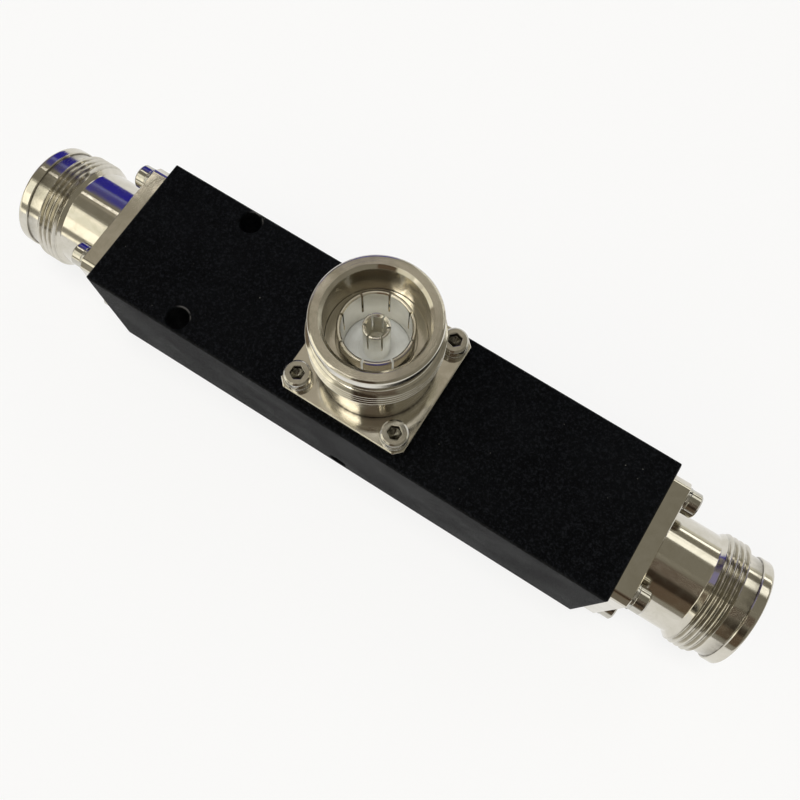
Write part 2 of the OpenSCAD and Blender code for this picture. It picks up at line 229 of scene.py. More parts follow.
def makeFloor():
    # one flat square; part of its brightness is fixed, for the rays that see it as the background, and
    # its underside is clear, so that the object can be looked at from below
    half, low = studio["floorSize"] / 2, -studio["floorDrop"]
    corners = [(x * half, y * half, low) for x, y in ((-1, -1), (1, -1), (1, 1), (-1, 1))]
    mesh = bpy.data.meshes.new("floor")
    mesh.from_pydata(corners, [], [(0, 1, 2, 3)])
    floor = bpy.data.objects.new("floor", mesh)
    bpy.context.scene.collection.objects.link(floor)
    material = bpy.data.materials.new("floorPaper")
    material.use_nodes = True
    tree = material.node_tree
    tree.nodes.clear()
    paper = addNode(tree, "BsdfDiffuse", {"Color": (*studio["floorColour"], 1)})
    glow = addNode(tree, "Emission")
    ray = addNode(tree, "LightPath").outputs
    seen = sums(tree, "MAXIMUM", ray["Is Glossy Ray"], ray["Is Transmission Ray"])
    seen = sums(tree, "MAXIMUM", ray["Is Camera Ray"], seen)
    share = sums(tree, "MULTIPLY", seen, studio["floorGlow"])
    mix = addNode(tree, "MixShader", {0: share, 1: paper.outputs[0], 2: glow.outputs[0]})
    below = addNode(tree, "NewGeometry").outputs["Backfacing"]
    clear = addNode(tree, "BsdfTransparent")
    whole = addNode(tree, "MixShader", {0: below, 1: mix.outputs[0], 2: clear.outputs[0]})
    addNode(tree, "OutputMaterial", {"Surface": whole.outputs[0]})
    mesh.materials.append(material)


makeLamps()
makeWorld()
makeFloor()
bpy.context.scene.view_settings.view_transform = "Standard"
print("studio lit")

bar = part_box("housing")
ports = {
    # name: (turn from the connector's own axes to the row's, place of its foot in mm)
    "input": (np.array([[0, 0, -1], [0, 1, 0], [1, 0, 0]]), np.array([bar[0].x, 0, bar[1].z / 2]) / mm),
    "output": (np.array([[0, 0, 1], [0, 1, 0], [-1, 0, 0]]), np.array([bar[1].x, 0, bar[1].z / 2]) / mm),
    "tap": (np.eye(3), np.array([0, 0, bar[1].z]) / mm),
}


def circleAngles(columns):
    # even steps once round, without the last one, which is the first again
    return np.linspace(0, 2 * math.pi, columns, endpoint=False)


def gridFaces(rows, columns, closedRows=False, closedColumns=True):
    # corner numbers of the quads between neighbouring rows and columns, which wrap round where closed
    a = np.arange(rows if closedRows else rows - 1)[:, None]
    b = np.arange(columns if closedColumns else columns - 1)[None, :]
    nextA, nextB = (a + 1) % rows, (b + 1) % columns
    corners = [(a, b), (nextA, b), (nextA, nextB), (a, nextB)]
    quads = np.stack([row * columns + column for row, column in corners], -1)
    return [tuple(quad) for quad in quads.reshape(-1, 4).tolist()]


def endFaces(rows, columns):
    # one flat face at the first row and one at the last
    last = (rows - 1) * columns
    return [tuple(range(columns)), tuple(range(last + columns - 1, last - 1, -1))]


def meshFrom(name, points, faces, sharpDegrees=50):
    # a smooth mesh in which the edges that bend by more than the angle stay sharp
    mesh = bpy.data.meshes.new(name)
    mesh.from_pydata(np.asarray(points, float).reshape(-1, 3), [], faces)
    mesh.polygons.foreach_set("use_smooth", np.ones(len(mesh.polygons), bool))
    mesh.set_sharp_from_angle(angle=math.radians(sharpDegrees))
    return mesh


def placeOf(mesh):
    # the vertices' places, one row for each
    co = np.empty(len(mesh.vertices) * 3)
    mesh.vertices.foreach_get("co", co)
    return co.reshape(-1, 3)


def standAtPort(mesh, port, node, material, quarterTurns, own, marks):
    # a copy of a mesh in connector axes and mm, stood at its port. Five attributes keep what the finish
    # follows: "turned" is each vertex's place about the piece's own axis in mm, "around" the direction
    # that the lathe's marks run there, "recess" how deep it lies, where the finish paints shade and dirt
    # and makes it rougher, "coarse" how rough the cut is, and "dull" how much rougher the surface is there
    name = f"{port}_{node}"
    made = mesh.copy()
    made.name = name
    co = placeOf(mesh)
    angle = quarterTurns * math.pi / 2
    cosine, sine = math.cos(angle), math.sin(angle)
    spin = np.array([[cosine, -sine, 0], [sine, cosine, 0], [0, 0, 1]])
    turn, foot = ports[port]
    made.vertices.foreach_set("co", (((co @ spin.T) @ turn.T + foot) * mm).ravel())
    along = np.stack([-own[:, 1], own[:, 0], 0 * own[:, 2]], -1)
    along = along / np.maximum(np.linalg.norm(along, axis=1, keepdims=True), 1e-6)  # no 0 on the axis
    for field, value in (("turned", own), ("around", (along @ spin.T) @ turn.T)):
        made.attributes.new(field, "FLOAT_VECTOR", "POINT").data.foreach_set("vector", value.ravel())
    for field in ("recess", "coarse", "dull"):
        value = marks.get(field, np.zeros(len(co)))
        made.attributes.new(field, "FLOAT", "POINT").data.foreach_set("value", value)
    made.materials.append(material)
    made.update()
    piece = bpy.data.objects.new("fine_" + name, made)
    bpy.context.scene.collection.objects.link(piece)
    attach(piece, "root")
    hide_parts(name)
    return piece


def roundedProfile(corners, steps=4, closed=True):
    # each corner (r, z, radius) becomes an arc that touches both of its sides, with one more point
    # just outside each end of the arc, half a radius on, so that the flats shade flat
    place = np.array([corner[:2] for corner in corners], float)
    out = []
    for i, (*_, radius) in enumerate(corners):
        if not radius or (not closed and i in (0, len(corners) - 1)):
            out.append([place[i]])
            continue
        one, two = place[i - 1] - place[i], place[(i + 1) % len(place)] - place[i]
        one, two = one / np.linalg.norm(one), two / np.linalg.norm(two)
        half = math.acos(np.clip(one @ two, -1, 1)) / 2
        middle = place[i] + (one + two) / np.linalg.norm(one + two) * radius / math.sin(half)
        start, end = (place[i] + way * radius / math.tan(half) - middle for way in (one, two))
        sweep = math.pi - 2 * half
        t = np.linspace(0, 1, steps)[:, None]
        arc = middle + (np.sin((1 - t) * sweep) * start + np.sin(t * sweep) * end) / math.sin(sweep)
        out.append(np.vstack([arc[0] + one * radius / 2, arc, arc[-1] + two * radius / 2]))
    return np.vstack(out)


def polygonColumns(corners, counts):
    # columns spread evenly by angle between a polygon's corners: each one's angle, side and share of
    # that side
    n = len(corners)
    turn = np.unwrap(np.arctan2(corners[:, 1], corners[:, 0]))
    turn = np.append(turn, turn[0] + 2 * math.pi)
    side = np.repeat(np.arange(n), counts)
    step = np.concatenate([np.arange(count) / count for count in counts])
    angle = turn[side] * (1 - step) + turn[side + 1] * step
    start, along = corners[side], corners[(side + 1) % n] - corners[side]
    cosine, sine = np.cos(angle), np.sin(angle)
    share = (start[:, 1] * cosine - start[:, 0] * sine) / (along[:, 0] * sine - along[:, 1] * cosine)
    return angle, side, share


def ringRows(profile, angles):
    # each point (r, z) of a profile becomes a circle about the axis
    r, z = profile[:, :1], profile[:, 1:2]
    return np.stack([r * np.cos(angles), r * np.sin(angles), z + 0 * angles], -1)


def outlineRows(cornersAt, insets, heights, side, share):
    # each row follows a polygon whose sides are moved in by the row's inset
    rows = []
    for inset, height in zip(insets, heights):
        corners = cornersAt(inset)
        flat = corners[side] * (1 - share[:, None]) + corners[(side + 1) % len(corners)] * share[:, None]
        rows.append(np.column_stack([flat, np.full(len(flat), height)]))
    return np.array(rows)


def cutFrom(base, tool, sharpDegrees):
    # the first closed skin without what the second one holds
    skin, knife = bpy.data.objects.new("skin", base), bpy.data.objects.new("knife", tool)
    for piece in (skin, knife):
        bpy.context.scene.collection.objects.link(piece)
    boolean = skin.modifiers.new("cut", "BOOLEAN")
    boolean.operation, boolean.solver, boolean.object = "DIFFERENCE", "EXACT", knife
    done = bpy.data.meshes.new_from_object(skin.evaluated_get(bpy.context.evaluated_depsgraph_get()))
    done.set_sharp_from_angle(angle=math.radians(sharpDegrees))
    for piece in (skin, knife):
        bpy.data.objects.remove(piece)
    return done


# shell: one turned and milled piece, as a flange with a threaded barrel; mm, heights above the bar's face
shell = {
    "flangeHalf": 11.2, "flangeThick": 3.2, "cornerCut": 1.2, "flangeBreak": 0.15,
    "holePlace": 8.75, "holeRadius": 1.4, "holeColumns": 48,
    "neck": 9.1, "undercutDepth": 0.15, "undercutTop": 3.45, "neckTop": 12.3,
    "thread": 10.1, "threadFoot": 13.4, "threadTop": 16.9, "pitch": 1.0, "threadDepth": 0.6,
    "crestEnd": 0.4375, "flankWide": 0.345,  # shares of the pitch
    "threadBlur": 0.05, "threadInset": 0.12,
    "relief": 9.15, "reliefFoot": 17.2, "rimFoot": 19.5, "rim": 9.5, "rimBreak": 0.15, "face": 21.4,
    "mouth": 7.45, "mouthBreak": 0.5, "mouthFloor": 14.1,
    "bore": 5.0, "discSeat": 5.67, "discFoot": 4.0, "ringSeat": 5.92, "ringFoot": 11.5,
    "spigot": 6.45, "spigotFoot": -2.2, "sealInside": 7.1, "sealOutside": 8.3, "sealDeep": 0.9,
    "sideColumns": 75, "cornerColumns": 5, "threadRows": 122,
    "quarterTurns": {"input": 1, "output": 2, "tap": 0},
}


def flangeCorners(inset):
    # the eight corners of a square with its corners cut, with every side moved in by the inset: one
    # side's two corners, and then the same turned three times
    wide = shell["flangeHalf"] - inset
    short = shell["flangeHalf"] - shell["cornerCut"] - (math.sqrt(2) - 1) * inset
    corners = [(wide, -short), (wide, short)]
    for _ in range(3):
        corners += [(-y, x) for x, y in corners[-2:]]
    return np.array(corners)


def threadedRows(angles):
    # the lesser of the turned outline and of a V groove that climbs one pitch in each turn, both
    # averaged over twice the blur so that crests and roots are a little round
    s = shell
    high, low = s["reliefFoot"] + s["threadInset"], s["neckTop"] - s["threadInset"]
    z = np.linspace(high, low, s["threadRows"])
    knots = (s["neckTop"], s["threadFoot"], s["threadTop"], s["reliefFoot"])
    radii = (s["neck"], s["thread"], s["thread"], s["relief"])
    spread = np.linspace(-s["threadBlur"], s["threadBlur"], 5)
    outline = np.mean([np.interp(z + offset, knots, radii) for offset in spread], 0)
    phase = (z[:, None] - s["threadFoot"]) / s["pitch"] - angles[None, :] / (2 * math.pi)
    away = [np.abs((phase + offset + 0.5) % 1 - 0.5) for offset in spread]
    groove = np.mean([np.clip((s["crestEnd"] - each) / s["flankWide"], 0, 1) for each in away], 0)
    r = np.minimum(outline[:, None], s["thread"] - s["threadDepth"] * groove)
    return np.stack([r * np.cos(angles), r * np.sin(angles), z[:, None] + 0 * r], -1)


def screwDrills():
    # four closed rods where the screws pass through the flange
    s = shell
    columns = s["holeColumns"]
    ends = np.array([(s["holeRadius"], s["flangeThick"] + 1), (s["holeRadius"], -1)])
    wall = ringRows(ends, circleAngles(columns)).reshape(-1, 3)
    drills, faces = [], []
    for i, (x, y) in enumerate([(1, 1), (-1, 1), (-1, -1), (1, -1)]):
        drills.append(wall + (x * s["holePlace"], y * s["holePlace"], 0))
        for face in gridFaces(2, columns) + endFaces(2, columns):
            faces.append(tuple(n + i * len(wall) for n in face))
    return meshFrom("drills", np.concatenate(drills), faces)


def makeShell():
    # one closed skin: up the stepped bore, over the rim, down the threaded barrel, out over the
    # flange and back under it to the spigot; the four screw holes are cut from it
    s = shell
    angles, side, share = polygonColumns(flangeCorners(0), [s["sideColumns"], s["cornerColumns"]] * 4)
    cut = s["neck"] - s["undercutDepth"]
    half, thick = s["flangeHalf"], s["flangeThick"]
    upper = roundedProfile([
        (s["bore"], s["spigotFoot"], 0), (s["bore"], s["discFoot"], 0),
        (s["discSeat"], s["discFoot"], 0), (s["discSeat"], s["ringFoot"], 0),
        (s["ringSeat"], s["ringFoot"], 0), (s["ringSeat"], s["mouthFloor"], 0.08),
        (s["mouth"], s["mouthFloor"], 0.1), (s["mouth"], s["face"] - s["mouthBreak"], 0.08),
        (s["mouth"] + s["mouthBreak"], s["face"], 0.06), (s["rim"], s["face"], 0.4),
        (s["rim"], s["rimFoot"] + s["rimBreak"], 0.04), (s["rim"] - s["rimBreak"], s["rimFoot"], 0.04),
        (s["relief"], s["rimFoot"], 0.08), (s["relief"], s["reliefFoot"] + 0.2, 0),
    ], closed=False)
    lower = roundedProfile([
        (s["neck"], s["neckTop"] - 0.2, 0), (s["neck"], s["undercutTop"], 0.03),
        (cut, s["undercutTop"], 0.03), (cut, thick, 0.05), (s["neck"] + 0.6, thick, 0),
    ], closed=False)
    edge = roundedProfile([
        (half - 1, thick, 0), (half - s["flangeBreak"], thick, 0.03),
        (half, thick - s["flangeBreak"], 0.03), (half, 0, 0.06), (half - 1, 0, 0),
    ], closed=False)[1:-1]
    under = np.array([
        (s["sealOutside"], 0), (s["sealOutside"], s["sealDeep"]), (s["sealInside"], s["sealDeep"]),
        (s["sealInside"], 0), (s["spigot"], 0), (s["spigot"], s["spigotFoot"]),
    ])
    rows = np.concatenate([
        ringRows(upper, angles), threadedRows(angles), ringRows(lower, angles),
        outlineRows(flangeCorners, half - edge[:, 0], edge[:, 1], side, share), ringRows(under, angles),
    ])
    skin = meshFrom("shellSkin", rows, gridFaces(len(rows), len(angles), closedRows=True))
    return cutFrom(skin, screwDrills(), 50)


def shellRecess(co):
    # 1 in the corners at the neck's ends, less in the thread's roots, and 0 on the open faces; the finish
    # paints shade there, with some dirt
    s = shell
    r, z = np.hypot(co[:, 0], co[:, 1]), co[:, 2]
    outside = r > s["mouth"] + s["mouthBreak"] + 0.05
    threaded = (z > s["threadFoot"] - 0.3) * (z < s["threadTop"] + 0.2)
    roots = np.clip((s["thread"] - r) / s["threadDepth"], 0, 1) * threaded * 0.35
    foot = np.clip(1 - np.abs(z - s["flangeThick"]) / 0.3, 0, 1)
    foot = foot * np.clip((s["neck"] + 0.5 - r) / 0.4, 0, 1)
    back = np.clip(1 - np.abs(z - s["rimFoot"]) / 0.25, 0, 1)
    back = back * np.clip((s["rim"] - 0.1 - r) / 0.2, 0, 1)
    return np.maximum(np.maximum(roots, foot), back) * outside


def shellCoarse(co):
    # 1 on the rim's face, less in the mouth and on the flange, and 0 on the polished barrel
    s = shell
    r, z = np.hypot(co[:, 0], co[:, 1]), co[:, 2]
    face = (z > s["face"] - 0.01) * 1.0
    mouth = (r < s["mouth"] + 0.01) * (z > s["mouthFloor"] + 0.15) * 0.4
    return np.maximum(np.maximum(face, mouth), (z < s["flangeThick"] + 0.01) * 0.03)


def shellDull(co):
    # less than 0 on the flange, which is milled more finely than the rest is turned
    return (co[:, 2] < shell["flangeThick"] + 0.01) * (co[:, 2] > -0.01) * -0.045


def turnedMesh(name, profile, columns=96, closed=True, sharpDegrees=40):
    # a profile of (r, z) points carried round the axis; an open one that starts and ends near the
    # axis gets a small flat face there, so that the skin is closed
    rows = ringRows(profile, circleAngles(columns))
    faces = gridFaces(len(rows), columns, closedRows=closed)
    return meshFrom(name, rows, faces if closed else faces + endFaces(len(rows), columns), sharpDegrees)


def slotBlades(contact):
    # one thin box for each slot of a contact, spaced evenly round the axis: its corners run near, far,
    # far, near at the low end and then at the high one, which is clear of the tip
    count, half = contact["slots"], contact["slotWide"] / 2
    near, far = contact["slotFrom"], contact["slotTo"]
    low, high = contact["tip"] - contact["slotLong"], contact["tip"] + 1
    angle = np.radians(contact["firstSlot"] + 360 * np.arange(count) / count)
    out = np.stack([np.cos(angle), np.sin(angle), 0 * angle], -1)[:, None]
    side = np.stack([-np.sin(angle), np.cos(angle), 0 * angle], -1)[:, None]
    flat = np.array([(near, -half), (far, -half), (far, half), (near, half)] * 2)
    height = np.repeat([low, high], 4)[:, None]
    points = out * flat[:, :1] + side * flat[:, 1:] + np.array([0, 0, 1.0]) * height
    box = np.array([(0, 3, 2, 1), (4, 5, 6, 7), (0, 1, 5, 4), (1, 2, 6, 5), (2, 3, 7, 6), (3, 0, 4, 7)])
    faces = (box[None] + 8 * np.arange(count)[:, None, None]).reshape(-1, 4)
    return meshFrom("blades", points, [tuple(face) for face in faces.tolist()])


# outer contact: a spring ring with its lip bevelled on both sides and its upper part slotted into fingers
outerContact = {
    "inside": 5.05, "outside": 5.65, "foot": 9.0, "tip": 17.9, "bevelIn": 0.2, "bevelOut": 0.18,
    "slots": 8, "slotWide": 0.32, "slotLong": 5.9, "slotFrom": 4, "slotTo": 7, "firstSlot": 11.3,
    "columns": 128,
}


def makeOuterContact():
    # a closed wall section carried round the axis, less its slots
    o = outerContact
    tip = o["tip"]
    section = roundedProfile([
        (o["inside"], o["foot"], 0.02), (o["inside"], tip - o["bevelIn"], 0.08),
        (o["inside"] + o["bevelIn"], tip, 0.1), (o["outside"] - o["bevelOut"], tip, 0.1),
        (o["outside"], tip - o["bevelOut"], 0.08), (o["outside"], o["foot"], 0.02),
    ])
    return cutFrom(turnedMesh("ring", section, o["columns"]), slotBlades(o), 35)


# centre contact: a socket whose mouth has a chamfer inside and a round outside, slotted into six fingers
centreContact = {
    "outside": 2.025, "bore": 1.425, "foot": 9.4, "tip": 18.3, "boreDeep": 5.8, "drillHalfDegrees": 59,
    "chamfer": 0.3, "round": 0.18, "stem": 1.5, "stemFoot": 4.0, "tail": 1.0, "tailFoot": 0.6,
    "slots": 6, "slotWide": 0.3, "slotLong": 5, "slotFrom": 0.9, "slotTo": 3, "firstSlot": 24.5,
    "columns": 96,
}


def makeCentreContact():
    # from the drill point at the bore's floor up the bore, over the mouth and down the outside to the tail
    c = centreContact
    tip, floor = c["tip"], c["tip"] - c["boreDeep"]
    point = floor - c["bore"] / math.tan(math.radians(c["drillHalfDegrees"]))
    section = roundedProfile([
        (0.02, point, 0), (c["bore"], floor, 0.05), (c["bore"], tip - c["chamfer"], 0.05),
        (c["bore"] + c["chamfer"], tip, 0.03), (c["outside"], tip, c["round"]),
        (c["outside"], c["foot"], 0.03), (c["stem"], c["foot"], 0.03), (c["stem"], c["stemFoot"], 0.03),
        (c["tail"], c["stemFoot"], 0.03), (c["tail"], c["tailFoot"], 0.2), (0.02, c["tailFoot"], 0),
    ], closed=False)
    return cutFrom(turnedMesh("socket", section, c["columns"], closed=False), slotBlades(c), 35)


def socketDull(co):
    # an even amount in the bore, which stays as the drill left it, and 0 elsewhere
    c = centreContact
    drilled = np.hypot(co[:, 0], co[:, 1]) < c["bore"] + 0.02
    return drilled * (co[:, 2] < c["tip"] - c["chamfer"] + 0.01) * 0.35


# insulator: a disc with a low boss between the two contacts
insulator = {
    "foot": 4.0, "shoulder": 9.0, "face": 9.4, "outside": 5.65, "boss": 5.04, "bore": 1.51, "columns": 128,
}


def makeInsulator():
    # a closed section carried round the axis
    i = insulator
    section = roundedProfile([
        (i["bore"], i["foot"], 0.05), (i["bore"], i["face"], 0.08),
        (i["boss"], i["face"], 0.08), (i["boss"], i["shoulder"], 0.04),
        (i["outside"], i["shoulder"], 0.08), (i["outside"], i["foot"], 0.1),
    ])
    return turnedMesh("disc", section, i["columns"])


# seal: a rubber cord ring squeezed between the bar and the floor of its groove
seal = {"middle": 7.7, "cord": 1.18, "deep": 0.9, "gap": 0.01, "cordColumns": 24}


def makeSeal():
    # a circle cut off flat below and above, carried round the axis
    turn, radius = circleAngles(seal["cordColumns"]), seal["cord"] / 2
    z = np.clip(seal["deep"] / 2 + radius * np.sin(turn), seal["gap"], seal["deep"] - seal["gap"])
    section = np.column_stack([seal["middle"] + radius * np.cos(turn), z])
    return turnedMesh("cord", section[::-1], sharpDegrees=70)


# screws: socket head cap screws; places in mm about the connector's axis, turned about their own by a
# step each
screw = {
    "place": 12.374, "turnStep": 23, "radius": 1.25, "long": 8, "tipBreak": 0.3,
    "headFoot": 3.7, "headTop": 5.7, "head": 2.15, "headBevel": 0.3,
    "hexFlats": 2.0, "hexDeep": 1.1, "hexBreak": 0.07, "drillDeep": 0.56, "sideColumns": 16,
}


def screwPlaces():
    # where each screw stands and how far it is turned, for the four corners of a flange
    turn = np.radians(90 * np.arange(4) + 45)
    spots = np.stack([np.cos(turn), np.sin(turn), 0 * turn], -1) * screw["place"]
    return spots, turn + np.radians(screw["turnStep"] * np.arange(4))


def hexagonCorners(outset):
    # the corners of the key's hexagon, with every side moved out by the outset
    turn = np.radians(60 * np.arange(6))
    out = np.stack([np.cos(turn), np.sin(turn)], -1)
    return out * (screw["hexFlats"] / 2 + outset) / math.cos(math.pi / 6)


def makeScrew():
    # from the drill point under the hexagon up its walls, over the head and down the shank to its tip
    s = screw
    angles, side, share = polygonColumns(hexagonCorners(0), [s["sideColumns"]] * 6)
    top, foot, tip, key = s["headTop"], s["headFoot"], s["headFoot"] - s["long"], s["hexBreak"]
    floor = top - s["hexDeep"]
    point = np.array([  # the drill's cone, a little round where it meets the floor
        (0.04, floor - s["drillDeep"]), (0.92, floor - 0.03), (0.95, floor - 0.005), (0.97, floor),
    ])
    walls = np.array([  # (outset, height) up the hexagon and over its broken edge
        (0, floor), (0, floor + 0.04), (0, top - key - 0.03), (0.01, top - key),
        (key - 0.01, top - 0.008), (key + 0.02, top),
    ])
    outside = roundedProfile([
        (1.32, top, 0), (s["head"] - s["headBevel"], top, 0.08), (s["head"], top - s["headBevel"], 0.12),
        (s["head"], foot, 0.1), (s["radius"] + 0.1, foot, 0.05), (s["radius"], foot - 0.1, 0.05),
        (s["radius"], tip + s["tipBreak"], 0.05), (s["radius"] - s["tipBreak"], tip, 0.05), (0.04, tip, 0),
    ], closed=False)
    rows = np.concatenate([
        ringRows(point, angles), outlineRows(hexagonCorners, walls[:, 0], walls[:, 1], side, share),
        ringRows(outside, angles),
    ])
    columns = len(angles)
    return meshFrom("screw", rows, gridFaces(len(rows), columns) + endFaces(len(rows), columns), 38)


# washers: split spring washers under the heads, whose cut leans
washer = {
    "inside": 1.4, "outside": 2.25, "low": 3.2, "high": 3.7, "split": 0.35, "leanDegrees": 20,
    "leanFade": 6, "columns": 72,
}


def makeWasher():
    # a rounded section carried nearly once round the axis; both ends lean, by an angle that fades away
    # from them as the sixth power of the way round
    w = washer
    section = roundedProfile([
        (w["inside"], w["low"], 0.06), (w["inside"], w["high"], 0.06),
        (w["outside"], w["high"], 0.08), (w["outside"], w["low"], 0.08),
    ])
    r, z = section[:, :1], section[:, 1:2]
    t = np.linspace(-1, 1, w["columns"])
    tilt = math.radians(w["leanDegrees"])
    gap = w["split"] / 2 / math.cos(tilt) / r
    lean = -(z - (w["low"] + w["high"]) / 2) * math.tan(tilt) / r
    angle = math.pi + t * (math.pi - gap) + lean * np.abs(t) ** w["leanFade"]
    rows = np.stack([r * np.cos(angle), r * np.sin(angle), z + 0 * angle], -1)
    columns = len(t)
    faces = gridFaces(len(rows), columns, closedRows=True, closedColumns=False)
    faces.append(tuple(range((len(rows) - 1) * columns, -1, -columns)))
    faces.append(tuple(range(columns - 1, len(rows) * columns, columns)))
    return meshFrom("washer", rows, faces, 40)


def repeatAtScrews(mesh):
    # four turned copies in one mesh, and each vertex's place about its own screw's axis
    co, spots, turns = placeOf(mesh), *screwPlaces()
    cosine, sine = np.cos(turns)[:, None], np.sin(turns)[:, None]
    x, y = co[:, 0] * cosine - co[:, 1] * sine, co[:, 0] * sine + co[:, 1] * cosine
    own = np.stack([x, y, co[:, 2] + 0 * cosine], -1)
    faces = [tuple(n + i * len(co) for n in face.vertices) for i in range(4) for face in mesh.polygons]
    made = meshFrom(mesh.name, own + spots[:, None], faces, 38)
    return made, own.reshape(-1, 3)


def screwRecess(own):
    # 1 down in the hexagon and under the head, where the finish paints shade, and 0 on the outside
    s = screw
    r, z = np.hypot(own[:, 0], own[:, 1]), own[:, 2]
    deep = np.clip((s["headTop"] - 0.12 - z) / 0.5, 0, 1) * (r < 1.2) * (z > s["headFoot"])
    return np.maximum(deep, (z < s["headFoot"] - 0.05) * 1.0)


def startMaterial(name):
    # a new material, its node tree and its shader
    material = bpy.data.materials.new(name)
    material.use_nodes = True
    tree = material.node_tree
    return material, tree, tree.nodes["Principled BSDF"]


def attribute(tree, name, output="Fac"):
    # what the piece's mesh keeps at each vertex under this name
    return addNode(tree, "Attribute", attribute_name=name).outputs[output]


def noise(tree, place, perMm, detail, roughness=0.5, distortion=0):
    # clouds from 0 to 1 in space
    inputs = {"Vector": place, "Scale": perMm, "Detail": detail}
    inputs.update({"Roughness": roughness, "Distortion": distortion})
    return addNode(tree, "TexNoise", inputs).outputs["Fac"]


def rareSpots(tree, place, perMm, share):
    # scattered cells: 1 in this share of them, a random amount for each, and the distance from its middle
    cells = addNode(tree, "TexVoronoi", {"Vector": place, "Scale": perMm}).outputs
    chance = splitUp(tree, cells["Color"])
    return sums(tree, "GREATER_THAN", chance["X"], 1 - share), chance["Y"], cells["Distance"]


def bump(tree, height, deepMm):
    # the normal over a surface whose height of 1 is this deep
    return addNode(tree, "Bump", {"Strength": 1, "Distance": deepMm * mm, "Height": height}).outputs[0]


def turnedPlace(tree):
    # place about the piece's axis, distance from it, height along it, and the direction out from it
    own = attribute(tree, "turned", "Vector")
    split = splitUp(tree, own)
    flat = joined(tree, split["X"], split["Y"])
    radius = vectorSums(tree, "LENGTH", flat, output="Value")
    return own, radius, split["Z"], splitUp(tree, vectorSums(tree, "NORMALIZE", flat))


def latheMarks(tree, radius, height, out, perMm, around):
    # noise that changes quickly across the lathe's marks and slowly along them
    x, y = (sums(tree, "MULTIPLY", out[way], around) for way in "XY")
    place = joined(tree, radius, height, x)
    inputs = {"Vector": place, "W": y, "Scale": perMm, "Detail": 2, "Roughness": 0.6}
    return addNode(tree, "TexNoise", inputs, noise_dimensions="4D").outputs["Fac"]


# metals: colours are reflectances at right angles, marks are per mm, groove depth in mm; the darkest
# colour is dirt in the pits and painted shade in the recesses
metals = {
    "shell_plate": {
        "name": "whiteBronzePlate",
        "colour": (0.68, 0.65, 0.58), "tint": (0.61, 0.58, 0.5), "dirtAndShade": (0.06, 0.05, 0.035),
        "roughness": 0.1, "smudge": 0.04, "anisotropy": 1.0,
        "finePerMm": 7, "broadPerMm": 1.6, "grooveMm": 0.0016, "pits": 0.07,
    },
    "contact_plate": {
        "name": "contactPlate",
        "colour": (0.9, 0.87, 0.79), "tint": (0.82, 0.79, 0.7), "dirtAndShade": (0.3, 0.27, 0.2),
        "roughness": 0.15, "smudge": 0.05, "anisotropy": 0.3,
        "finePerMm": 9, "broadPerMm": 2.5, "grooveMm": 0.002, "pits": 0.02,
    },
    "contact_silver": {
        "name": "silverPlate",
        "colour": (0.97, 0.96, 0.9), "tint": (0.93, 0.91, 0.83), "dirtAndShade": (0.35, 0.3, 0.22),
        "roughness": 0.2, "smudge": 0.05, "anisotropy": 0.3,
        "finePerMm": 9, "broadPerMm": 3, "grooveMm": 0.002, "pits": 0.02,
    },
    "stainless": {
        "name": "stainlessScrew",
        "colour": (0.6, 0.58, 0.52), "tint": (0.48, 0.46, 0.41), "dirtAndShade": (0.07, 0.065, 0.05),
        "roughness": 0.13, "smudge": 0.06, "anisotropy": 0.5,
        "finePerMm": 9, "broadPerMm": 2.8, "grooveMm": 0.0016, "pits": 0.12,
    },
    "washer_steel": {
        "name": "washerSteel",
        "colour": (0.58, 0.57, 0.53), "tint": (0.48, 0.47, 0.44), "dirtAndShade": (0.14, 0.13, 0.11),
        "roughness": 0.24, "smudge": 0.1, "anisotropy": 0.3,
        "finePerMm": 8, "broadPerMm": 3, "grooveMm": 0.002, "pits": 0.1,
    },
}
# wear: what all the metals share
wear = {
    "fineAround": 0.06, "broadAround": 0.25,  # how quickly the marks change on their way round
    "fineHeight": 0.4, "markTint": 0.16,  # fine marks against broad ones, and how much the broad ones show
    "cloudPerMm": 0.35, "filmPerMm": 1.1, "filmShares": (0.5, 0.95),
    "spotsPerMm": 0.55, "pitRadii": (0.075, 0.03), "pitDepth": 3,  # radii in cells, from faint to full
    "coarseRoughness": 0.08, "coarseDepth": 30,  # what a rough cut adds
}


